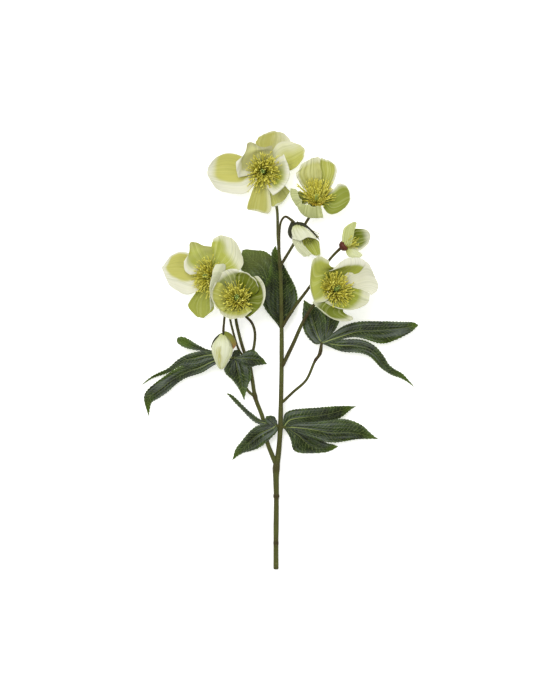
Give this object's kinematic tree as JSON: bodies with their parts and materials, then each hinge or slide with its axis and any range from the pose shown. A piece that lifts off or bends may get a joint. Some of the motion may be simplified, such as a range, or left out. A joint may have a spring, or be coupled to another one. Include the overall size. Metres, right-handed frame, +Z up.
{
  "type": "hellebore flower",
  "caption": "Cut branching stem of hellebore lying down, with open greenish-cream flowers, nodding buds and dark toothed palmate leaves.",
  "frame": {"origin": "on the surface the plant lies on, under the middle of its box", "axes": "+Y along the stem from its cut end to the flowers, +X to the right as seen from above, +Z up from the surface, which is also the way the flowers open"},
  "size_m": [0.2764, 0.4378, 0.0542],
  "materials": {
    "stem": "smooth green bark, olive to brown, satin",
    "leaf": "leathery dark green leaf with pale veins, satin",
    "sepal": "soft waxy sepal, yellow green with cream margins",
    "pistil": "smooth pale green carpels",
    "stamens": "pale yellow filaments and anthers, powdery",
    "bract": "dark brown-green bract, satin",
    "calyx": "red-brown calyx, satin"
  },
  "bodies": {
    "root": {"cup_flower_pistil": "pistil", "cup_flower_sepal_bottom": "sepal", "cup_flower_sepal_left": "sepal", "cup_flower_sepal_right": "sepal", "cup_flower_sepal_top": "sepal", "cup_flower_sepal_upper_right": "sepal", "cup_flower_stamens": "stamens", "hanging_bud_body": "sepal", "leaf_behind_stem": "leaf", "leaf_left": "leaf", "leaf_lower_left": "leaf", "leaf_lower_right": "leaf", "leaf_upper_right": "leaf", "left_branch": "stem", "left_flower_pistil": "pistil", "left_flower_sepal_bottom": "sepal", "left_flower_sepal_left": "sepal", "left_flower_sepal_right": "sepal", "left_flower_sepal_upper_left": "sepal", "left_flower_sepal_upper_right": "sepal", "left_flower_stamens": "stamens", "main_stem": "stem", "nodding_bud_receptacle": "bract", "nodding_bud_sepal_left": "sepal", "nodding_bud_sepal_right": "sepal", "nodding_bud_sepal_top": "sepal", "opening_bud_calyx": "calyx", "opening_bud_sepal_bottom": "sepal", "opening_bud_sepal_right": "sepal", "opening_bud_sepal_top": "sepal", "pedicel_cup_flower": "stem", "pedicel_hanging_bud": "stem", "pedicel_nodding_bud": "stem", "pedicel_opening_bud": "stem", "pedicel_right_flower": "stem", "pedicel_upper_right_flower": "stem", "right_flower_pistil": "pistil", "right_flower_sepal_bottom": "sepal", "right_flower_sepal_left": "sepal", "right_flower_sepal_lower_right": "sepal", "right_flower_sepal_right": "sepal", "right_flower_sepal_top": "sepal", "right_flower_stamens": "stamens", "top_flower_pistil": "pistil", "top_flower_sepal_bottom": "sepal", "top_flower_sepal_inner_left": "sepal", "top_flower_sepal_inner_right": "sepal", "top_flower_sepal_left": "sepal", "top_flower_sepal_lower_right": "sepal", "top_flower_sepal_right": "sepal", "top_flower_sepal_top": "sepal", "top_flower_stamens": "stamens", "upper_right_flower_pistil": "pistil", "upper_right_flower_sepal_bottom": "sepal", "upper_right_flower_sepal_left": "sepal", "upper_right_flower_sepal_right": "sepal", "upper_right_flower_sepal_top_left": "sepal", "upper_right_flower_sepal_top_right": "sepal", "upper_right_flower_stamens": "stamens"}
  },
  "joints": []
}
